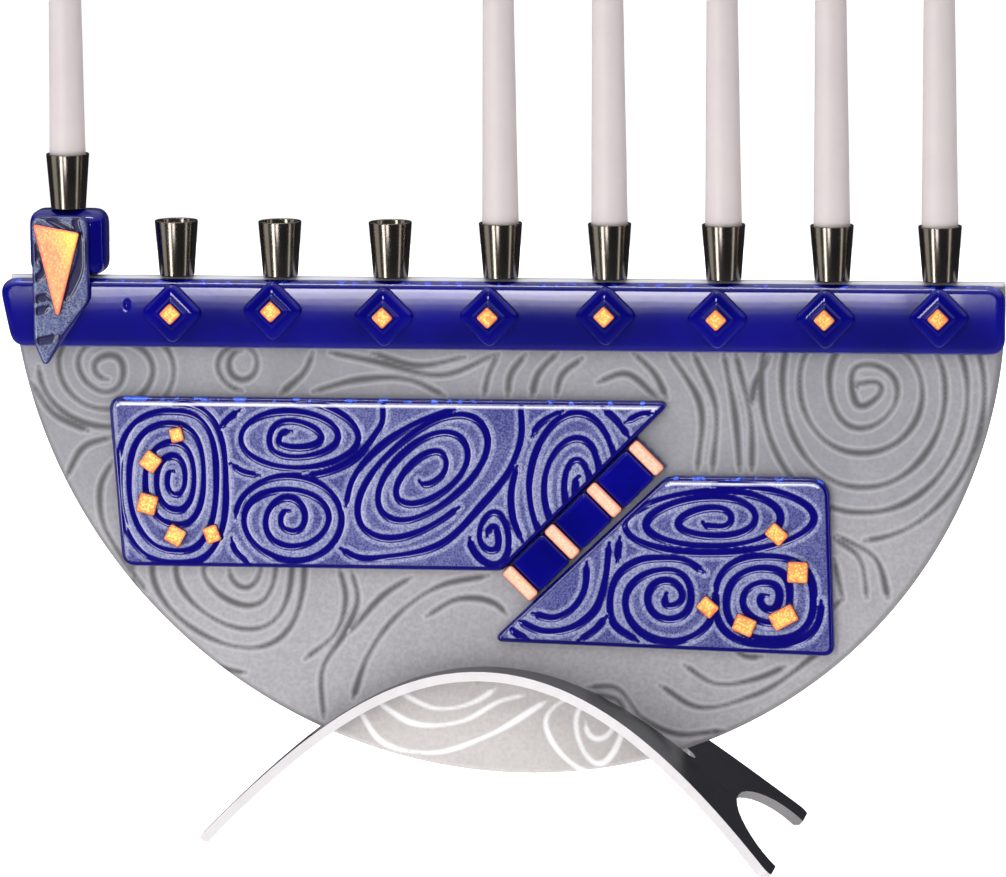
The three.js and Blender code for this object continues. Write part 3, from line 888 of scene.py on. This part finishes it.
def make_plate():
    groove_depth, ripple_depth = 0.1 * mm, 0.12 * mm
    turn = np.linspace(0, math.pi, 400)
    depth = plate_radius * np.sin(turn)
    x = plate_middle - plate_radius * np.cos(turn) + plate_lean * depth
    outline = np.column_stack([x, plate_high.z - depth])
    drawn = groove(plate_drawing, groove_depth)

    def relief(points, inset):
        ripple = [noise.noise((x * 90, 0, z * 90)) for x, z in points]
        return drawn(points, inset) + ripple_depth * (1 + np.array(ripple)) / 2

    marks = {"line": plate_drawing.field, "lit": below_arch, "bleed": under_the_band}
    piece = tile("plate", outline, plate_low.y, plate_high.y, 1.8 * mm, 1.0 * mm,
                 relief, marks, two_faced=True)
    settle(piece, silver, "silver_glass", "glass_plate")
    print("plate:", len(piece.data.vertices), "vertices")


make_plate()

# %% [markdown]
# The two patterned panels use the same tile, with their own drawings cut into them. Their
# faces fall away in a narrow chamfer at the rim. One mark places a painted highlight, a white
# line along this chamfer's upper edge; another places painted glints along the very top.


# %% Panels
def make_panel(node, drawing):
    groove_depth, swell_depth = 0.18 * mm, 0.03 * mm
    chamfer_slope, chamfer_start, chamfer_width = 0.112, 3.0, 1.4
    low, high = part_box(node)
    drawn = groove(drawing, groove_depth)

    def relief(points, inset):
        swell = [noise.noise((x * 140, 7, z * 140)) for x, z in points]
        chamfer = chamfer_slope * mm * np.clip(chamfer_start - inset / mm, 0, chamfer_width)
        return drawn(points, inset) + chamfer + swell_depth * (1 + np.array(swell))

    outline = outline_of(node, 0.5 * mm)
    marks = {"line": drawing.field, "crest": top_band(outline, 1.9, 2.9),
             "brow": top_band(outline, 0.0, 1.3)}
    piece = tile(node + "_glass", outline, low.y, high.y, 1.5 * mm, 0.5 * mm, relief, marks)
    settle(piece, patterned, "patterned_glass", node)
    print(node, len(piece.data.vertices), "vertices")


make_panel("panel_left", left_drawing)
make_panel("panel_right", right_drawing)

# %% [markdown]
# The bar is one strip of cobalt glass, fired until its edges drew round and its face
# became a very flat pillow. The pillow is what catches the strips along its upper half.
# One bubble burst near its left end and left a small dimple.


# %% Bar
def make_bar():
    low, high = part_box("top_bar")
    middle, half = (low.z + high.z) / 2, (high.z - low.z) / 2
    bubble_place = on_plate([(-125.6, 9.2)])[0]
    pillow_depth, wave_depth, bubble_depth = 0.6 * mm, 0.12 * mm, 0.4 * mm

    def relief(points, inset):
        x, z = points.T
        pillow = pillow_depth * ((z - middle) / half)**2
        wave = np.array([noise.noise((a * 45, 3, b * 60)) for a, b in points])
        bubble = np.hypot((x - bubble_place[0]) / 0.9, (z - bubble_place[1]) / 2.0) / mm
        dimple = bubble_depth * (1 - smooth_step(bubble, 0.3, 1.0))
        return pillow + wave_depth * (1 + wave) / 2 + dimple

    outline = outline_of("top_bar", 0.7 * mm)
    piece = tile("bar", outline, low.y, high.y, 2.2 * mm, 0.7 * mm, relief,
                 {"brow": top_band(outline, 0.0, 1.2)})
    settle(piece, bar_blue, "blue_glass", "top_bar")
    print("bar:", len(piece.data.vertices), "vertices,", round(2 * half / mm, 1), "mm high")


make_bar()

# %% [markdown]
# Each diamond is a mound with a flat, bright table on top. Its broad, steep shoulder mirrors
# the dark room, so it reads as a bold outline. A smaller square of blue glass with rounded
# sides stands in the middle and carries the gold.


# %% Diamonds
def make_diamond(number):
    table_depth, table_step, button_height, table_tilt = 0.75 * mm, 0.12 * mm, 0.7 * mm, 0.12 * mm
    node = f"diamond_{number}"
    low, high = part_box(node)

    def relief(points, inset):
        depth = inset / mm
        table = table_depth + table_step * smooth_step(depth, 2.4, 1.9)
        button = button_height * smooth_step(depth, 3.5, 4.3)
        return table - button + table_tilt * (1 - smooth_step(depth, 2.2, 3.6))

    piece = tile(node + "_glass", outline_of(node, 0.3 * mm, 16), low.y, high.y, 2.0 * mm,
                 0.4 * mm, relief)
    settle(piece, cobalt_blue, "blue_glass", node)


diamond_count = 8
for number in range(1, diamond_count + 1):
    make_diamond(number)
print("diamonds:", diamond_count)

# %% [markdown]
# The shamash is the candle that lights the others, and its cup stands higher, on a block.
# The glass laid over the block is marbled: silver grain with streaks and dark veins in it.


# %% Marbled glass
def marbled_glass():
    material, recipe = new_recipe("marbled_glass")
    vein = 1 - recipe.step(attribute(recipe, "line"), -0.3, 0.5)
    streak = recipe.node("ShaderNodeTexNoise", sockets={
        "Vector": place_in_object(recipe), "Scale": 160.0, "Detail": 3.0, "Distortion": 1.2})
    grain = recipe.step(speckle(recipe, 0.5), 0.3, 0.7)
    silver_part = recipe.blend(grain, screen(34, 42, 86), screen(122, 132, 166))
    face = recipe.blend(recipe.step(streak, 0.5, 0.68) * 0.45, silver_part, screen(66, 70, 132))
    face = recipe.blend(vein, face, screen(6, 2, 66))
    color = recipe.blend(1 - recipe.step(attribute(recipe, "inset"), 0.35, 0.8), face,
                         screen(20, 16, 104))
    surface_of(recipe, {
        "Base Color": color, "Roughness": 0.3 + 0.15 * grain,
        "Coat Weight": 1.0, "Coat Roughness": 0.05,
        "Normal": bump(recipe, streak, 0.2, 0.6),
    })
    return material


marbled = marbled_glass()
print(marbled.name, "has", len(marbled.node_tree.nodes), "nodes")

# %% [markdown]
# The block is a thick cushion of cobalt. The marbled glass hangs over it, with a pointed
# tail that reaches down across the bar. Its veins are drawn like the swirls, but wider.

# %% Shamash
marbling = Drawing([
    sweep([(-155.3, -22.1), (-151.9, -20.7), (-148.6, -18.7), (-142, -15.4)]),
    sweep([(-141.6, -21.7), (-141.6, -18.1), (-140.3, -14), (-140, -10), (-142.1, -1.7),
           (-145.5, 5.7)]),
    sweep([(-139.4, -13.4), (-139.1, -9.4), (-140.8, -2.7), (-145.5, 7)]),
    sweep([(-157.4, -4), (-155.8, -6), (-155.1, -8.3), (-157, -12.4)]),
    sweep([(-158.2, 1), (-153.5, -1), (-152.4, -3.3), (-154.7, -9.4)]),
    sweep([(-157.2, 8.1), (-152.2, 6.4), (-150.2, 7)]),
    sweep([(-157.3, 11.7), (-152.9, 10.4), (-150.9, 9.4)]),
    sweep([(-156.7, 21.4), (-151, 20.4), (-147.7, 19.4)]),
], width=2.8)


def make_shamash():
    low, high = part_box("shamash_block")
    block = tile("shamash_cushion", outline_of("shamash_block", 0.5 * mm), low.y, high.y,
                 4.6 * mm, 0.6 * mm)
    settle(block, cobalt_blue, "blue_glass", "shamash_block")
    low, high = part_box("shamash_overlay")
    overlay = tile("shamash_marbled", outline_of("shamash_overlay", 0.3 * mm), low.y, high.y,
                   1.2 * mm, 0.4 * mm, groove(marbling, 0.25 * mm), {"line": marbling.field})
    settle(overlay, marbled, "patterned_glass", "shamash_overlay")
    print("shamash:", block.name, overlay.name)


make_shamash()

# %% [markdown]
# Gold and copper tiles are dichroic glass: a thin metallic film, crackled into grains by
# the heat, under a clear cap. The film is bright in the grains and burns to red orange in
# the cracks and at the edges, and the cap's rounded rim shows as a dark, glossy outline.


# %% Film glass
def film_glass(name, bright, middle, burnt, grain_size, rim_width):
    material, recipe = new_recipe(name)
    inset = attribute(recipe, "inset")
    cells = recipe.node("ShaderNodeTexVoronoi", {"feature": "F1"}, {
        "Vector": place_in_object(recipe), "Scale": 1000 / grain_size})
    patch = recipe.step(speckle(recipe, 3.5, 2.0), 0.35, 0.65)
    body = recipe.blend(recipe.step(cells, 0.25, 0.65), bright, middle)
    body = recipe.blend(patch * 0.35, body, bright)
    body = recipe.blend(attribute(recipe, "glow") * 0.7, body, screen(255, 240, 96))
    to_edge = 1 - recipe.step(inset, rim_width, rim_width + 0.9)
    body = recipe.blend(to_edge * 0.7, body, burnt)
    color = recipe.blend(1 - recipe.step(inset, rim_width - 0.25, rim_width), body,
                         screen(28, 24, 70))
    surface_of(recipe, {
        "Base Color": color,
        "Metallic": 0.35,
        # Painted light: the film glows with part of its own colour, though it is no lamp.
        "Emission Color": recipe.blend(0.7, color, (0, 0, 0, 1)),
        "Emission Strength": 1.0,
        "Roughness": 0.3 + 0.2 * cells,
        "Coat Weight": 1.0,
        "Coat Roughness": 0.03,
        "Normal": bump(recipe, cells, 0.35, 0.4),
    })
    return material


gold = film_glass("gold_film", screen(255, 218, 118), screen(244, 148, 80),
                  screen(214, 66, 34), 0.8, 0.3)
sunset = film_glass("sunset_film", screen(255, 176, 116), screen(252, 148, 108),
                    screen(236, 78, 54), 0.9, 0.3)
copper = film_glass("copper_film", screen(254, 206, 176), screen(250, 178, 146),
                    screen(226, 124, 100), 0.7, 0.3)
print("films:", [m.name for m in (gold, sunset, copper)])

# %% [markdown]
# The tiles were cut by hand from sheets of this glass. The copper ones are thicker, so their
# rims are rounder than those of the gold squares and the triangle.


# %% Gold and copper tiles
def glow(points, _inset):
    """The triangle turns yellow towards its upper right corner."""
    across = (points - points.min(0)) / (points.max(0) - points.min(0))
    return smooth_step(across @ np.array([0.8, 0.6]), 0.7, 1.3)


def make_film_tile(node, material, slot):
    low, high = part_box(node)
    rounding = (0.4 if slot == "gold_glass" else 1.0) * mm
    piece = tile(node + "_tile", outline_of(node, 0.15 * mm, 5), low.y, high.y, rounding,
                 0.25 * mm, marks={"glow": glow} if material is sunset else None)
    settle(piece, material, slot, node)


gold_nodes = [n for n in sorted(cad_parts) if "gold" in n]
copper_nodes = [n for n in sorted(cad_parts) if "copper" in n]
for node in gold_nodes:
    make_film_tile(node, gold, "gold_glass")
for node in copper_nodes:
    make_film_tile(node, copper, "copper_glass")
make_film_tile("shamash_triangle", sunset, "gold_glass")
print("gold tiles:", len(gold_nodes), "copper tiles:", len(copper_nodes))

# %% [markdown]
# Between the copper strips of the diagonal band lie plain squares of polished cobalt.


# %% Diagonal blue squares
def make_diagonal_square(node):
    low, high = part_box(node)
    piece = tile(node + "_glass", outline_of(node, 0.3 * mm), low.y, high.y, 1.2 * mm, 0.4 * mm)
    settle(piece, cobalt_blue, "blue_glass", node)


square_nodes = [n for n in sorted(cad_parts) if n.startswith("diagonal_blue")]
for node in square_nodes:
    make_diagonal_square(node)
print("blue squares:", len(square_nodes))

# %% [markdown]
# Cups and candles are turned shapes. Each profile is a short list of radius and height, and
# spinning it round a vertical axis gives the surface. Short arcs make the rolled edges round.


# %% Turned pieces
def turned(name, profile, x, y, z, segments=72):
    """A closed surface of revolution. profile runs from the axis to the axis."""
    bm = bmesh.new()
    rings = []
    for radius, height in profile:
        if radius == 0:
            rings.append([bm.verts.new((x, y, z + height))] * segments)
        else:
            turns = [2 * math.pi * i / segments for i in range(segments)]
            rings.append([bm.verts.new((x + radius * math.cos(t), y + radius * math.sin(t),
                                        z + height)) for t in turns])
    for below, above in zip(rings, rings[1:]):
        for i in range(segments):
            j = (i + 1) % segments
            corners = [below[i], below[j], above[j], above[i]]
            unique = [v for k, v in enumerate(corners) if v not in corners[:k]]
            if len(unique) > 2:
                bm.faces.new(unique)
    mesh = bpy.data.meshes.new(name)
    bm.normal_update()
    bm.to_mesh(mesh)
    bm.free()
    mesh.polygons.foreach_set("use_smooth", [True] * len(mesh.polygons))
    mesh.set_sharp_from_angle(angle=math.radians(40))
    piece = bpy.data.objects.new(name, mesh)
    scene.collection.objects.link(piece)
    return piece


def arc_points(centre, radius, start, end, steps=6):
    turns = [math.radians(start + (end - start) * i / steps) for i in range(steps + 1)]
    return [(centre[0] + radius * math.cos(t), centre[1] + radius * math.sin(t)) for t in turns]


print("a quarter round of 1 mm ends at", [round(v, 3) for v in arc_points((0, 0), 1, 0, 90)[-1]])

# %% [markdown]
# The cups are plated, and slightly warm in colour. Metal shows only what it mirrors, so its
# finish is little more than a colour, a low roughness and faint turning marks round it.


# %% Nickel
def nickel():
    material, recipe = new_recipe("nickel")
    place = place_in_object(recipe)
    stretch = recipe.node("ShaderNodeMapping", sockets={0: place, "Scale": (0.05, 0.05, 1)})
    marks = recipe.node("ShaderNodeTexNoise", sockets={"Vector": stretch, "Scale": 2500.0})
    smudge = speckle(recipe, 9.0)
    color = recipe.blend(smudge, screen(128, 120, 108), screen(164, 156, 142))
    surface_of(recipe, {
        "Base Color": color, "Metallic": 1.0, "Roughness": 0.15 + 0.08 * smudge,
        "Normal": bump(recipe, marks, 0.06, 0.1),
    })
    return material


cup_metal = nickel()
print(cup_metal.name, "has", len(cup_metal.node_tree.nodes), "nodes")

# %% [markdown]
# Each cup is thin and tapered, with a rolled lip and a floor inside that the candle stands on.
# The profile runs up the outside, over the lip and down the inside.

# %% Cups
cup_floor = 2.0 * mm
cup_wall = 0.7 * mm
cup_flare = 1.35 * mm
lip = 0.35 * mm
foot_rounding = 0.4 * mm


def make_cup(node):
    low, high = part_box(node)
    x, y, rim = (low.x + high.x) / 2, (low.y + high.y) / 2, (high.x - low.x) / 2
    height = high.z - low.z
    base = rim - cup_flare
    profile = [(0, 0), (base - foot_rounding, 0)]
    profile += arc_points((base - foot_rounding, foot_rounding), foot_rounding, -90, 0)
    profile += arc_points((rim - lip, height - lip), lip, 0, 180)
    profile += [(base - cup_wall, cup_floor), (0, cup_floor)]
    piece = turned(node + "_metal", profile, x, y, low.z)
    settle(piece, cup_metal, "nickel", node)


cup_nodes = [n for n in sorted(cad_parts) if n.startswith("cup_")]
for node in cup_nodes:
    make_cup(node)
print("cups:", len(cup_nodes))

# %% [markdown]
# The candles are plain white wax, a little translucent. Subsurface scattering lets light
# travel under its skin, which softens the shading. The wick's cotton is matt and fibrous.


# %% Wax and cotton
def wax():
    material, recipe = new_recipe("wax")
    cloud = speckle(recipe, 12.0)
    color = recipe.blend(cloud, screen(202, 192, 191), screen(211, 202, 200))
    surface_of(recipe, {
        "Base Color": color, "Roughness": 0.42, "Subsurface Weight": 0.15,
        "Subsurface Radius": (0.004, 0.003, 0.003), "Subsurface Scale": 1.0,
        "Normal": bump(recipe, speckle(recipe, 4.0), 0.1, 0.4),
    })
    return material


def cotton():
    material, recipe = new_recipe("cotton_wick")
    strand = speckle(recipe, 0.5)
    color = recipe.blend(strand, screen(214, 208, 196), screen(246, 242, 234))
    surface_of(recipe, {"Base Color": color, "Roughness": 0.9,
                        "Normal": bump(recipe, strand, 0.5, 0.2)})
    return material


candle_wax, wick_cotton = wax(), cotton()
print("candle finishes:", candle_wax.name, wick_cotton.name)

# %% [markdown]
# A wick is three strands twisted round each other. It is made as a curve with a round
# bevel: three lines wind round one axis, and each is given its own thickness.

# %% Wicks
wick_length = 7 * mm
wick_radius = 0.8 * mm
wick_root = 1 * mm
wick_steps = 24
wick_turns = 2.5


def make_wick(node, x, y, foot):
    strand = bpy.data.curves.new(node + "_wick", "CURVE")
    strand.dimensions = "3D"
    strand.bevel_depth = wick_radius * 0.48
    strand.bevel_resolution = 3
    strand.use_fill_caps = True
    reach = wick_radius * 0.5
    for k in range(3):
        spline = strand.splines.new("POLY")
        spline.points.add(wick_steps)
        for i in range(wick_steps + 1):
            turn = 2 * math.pi * (wick_turns * i / wick_steps + k / 3)
            height = foot - wick_root + (wick_length + 0.6 * mm) * i / wick_steps
            spline.points[i].co = (x + reach * math.cos(turn), y + reach * math.sin(turn),
                                   height, 1)
    piece = bpy.data.objects.new(node + "_wick", strand)
    scene.collection.objects.link(piece)
    strand.materials.append(wick_cotton)
    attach(piece, node)


print("a wick winds round", wick_turns, "times")

# %% [markdown]
# A candle tapers upwards and ends in a soft shoulder. Its foot narrows to sit in the cup.
# A slow unevenness along the sides keeps it from looking like a machined rod.

# %% Candles
rim_height = 16 * mm
tip_length = 11 * mm
candle_taper = 0.0118
seat_inset = 1.3 * mm
foot_chamfer = 0.4 * mm
side_steps = 24


def make_candle(node):
    low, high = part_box(node)
    x, y = (low.x + high.x) / 2, (low.y + high.y) / 2
    widest = (high.x - low.x) / 2
    seat, tip = widest - seat_inset, high.z - low.z - wick_length
    side = tip - tip_length - rim_height
    shoulder = widest - candle_taper * side
    profile = [(0, 0), (seat - foot_chamfer, 0), (seat, foot_chamfer), (widest, rim_height)]
    for i in range(1, side_steps + 1):
        part = i / side_steps
        uneven = 0.05 * mm * math.sin(9 * part + 40 * x)
        radius = widest + (shoulder - widest) * part - abs(uneven)
        profile.append((radius, rim_height + side * part))
    for part in (0.2, 0.4, 0.6, 0.78, 0.9, 0.97):
        dome = shoulder * (0.85 * math.sqrt(1 - part**2) + 0.15 * (1 - part))
        profile.append((dome + wick_radius * 0.6 * part, tip - tip_length * (1 - part)))
    profile.append((0, tip))
    piece = turned(node + "_wax", profile, x, y, low.z, 48)
    settle(piece, candle_wax, "wax", node, body=node)
    make_wick(node, x, y, low.z + tip)


candle_nodes = [n for n in sorted(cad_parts) if n.startswith("candle_")]
for node in candle_nodes:
    make_candle(node)
print("candles:", len(candle_nodes))

# %% [markdown]
# The stand is a strip of aluminium sheet. Its faces are brushed lengthways, so the noise
# for the brushing is stretched along the strip. The cut edges are sanded pale.


# %% Satin aluminium
def satin_aluminium():
    material, recipe = new_recipe("satin_aluminium")
    place = place_in_object(recipe)
    stretch = recipe.node("ShaderNodeMapping", sockets={0: place, "Scale": (0.04, 1, 0.04)})
    brush = recipe.node("ShaderNodeTexNoise", sockets={
        "Vector": stretch, "Scale": 1800.0, "Detail": 4.0})
    cloud = speckle(recipe, 30.0)
    top = recipe.blend(cloud, screen(120, 120, 122), screen(136, 136, 138))
    edge = attribute(recipe, "cut_edge")
    sanded = recipe.blend(brush, screen(210, 205, 205), screen(226, 222, 222))
    color = recipe.blend(edge, top, sanded)
    surface_of(recipe, {
        "Base Color": color, "Metallic": 1 - 0.75 * edge,
        "Roughness": 0.24 + 0.1 * brush + 0.25 * edge,
        "Normal": bump(recipe, brush, 0.12, 0.1),
    })
    return material


strip_metal = satin_aluminium()
print(strip_metal.name, "has", len(strip_metal.node_tree.nodes), "nodes")

# %% [markdown]
# The strip keeps the CAD shape, which is already right. Its mesh is copied, flat faces are
# merged, and a small bevel breaks the sharp edges. Faces that look sideways are cut edges;
# those that look inwards, in the notch and the slot, are painted less pale, as painted shade.

# %% Stand
inner_edge_painted_shade = 0.55


def make_stand():
    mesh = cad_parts["stand_arch"].data.copy()
    mesh.materials.clear()
    bm = bmesh.new()
    bm.from_mesh(mesh)
    bmesh.ops.remove_doubles(bm, verts=bm.verts, dist=0.01 * mm)
    bmesh.ops.dissolve_limit(bm, angle_limit=math.radians(1.0), verts=bm.verts, edges=bm.edges)
    bm.to_mesh(mesh)
    bm.free()
    piece = bpy.data.objects.new("stand_strip", mesh)
    scene.collection.objects.link(piece)
    bevel = piece.modifiers.new("broken_edges", "BEVEL")
    bevel.width = 0.25 * mm
    bevel.segments = 2
    bevel.limit_method = "ANGLE"
    bevel.angle_limit = math.radians(40)
    cut = []
    for face in mesh.polygons:
        looks_inwards = face.center.y * face.normal.y < 0
        is_cut = abs(face.normal.y) > 0.08
        # Painted shade: cut faces that look inwards, in the notch and the slot, are painted less
        # pale.
        cut.append(is_cut * (inner_edge_painted_shade if looks_inwards else 1.0))
    mesh.attributes.new("cut_edge", "FLOAT", "FACE").data.foreach_set("value", cut)
    mesh.polygons.foreach_set("use_smooth", [True] * len(mesh.polygons))
    mesh.set_sharp_from_angle(angle=math.radians(35))
    settle(piece, strip_metal, "satin_aluminium", "stand_arch", body="stand")
    print("stand:", len(mesh.polygons), "faces,", sum(c > 0 for c in cut), "of them cut edges")


make_stand()

# %% [markdown]
# The last step updates the view layer and closes the frame.

# %% Finish
bpy.context.view_layer.update()
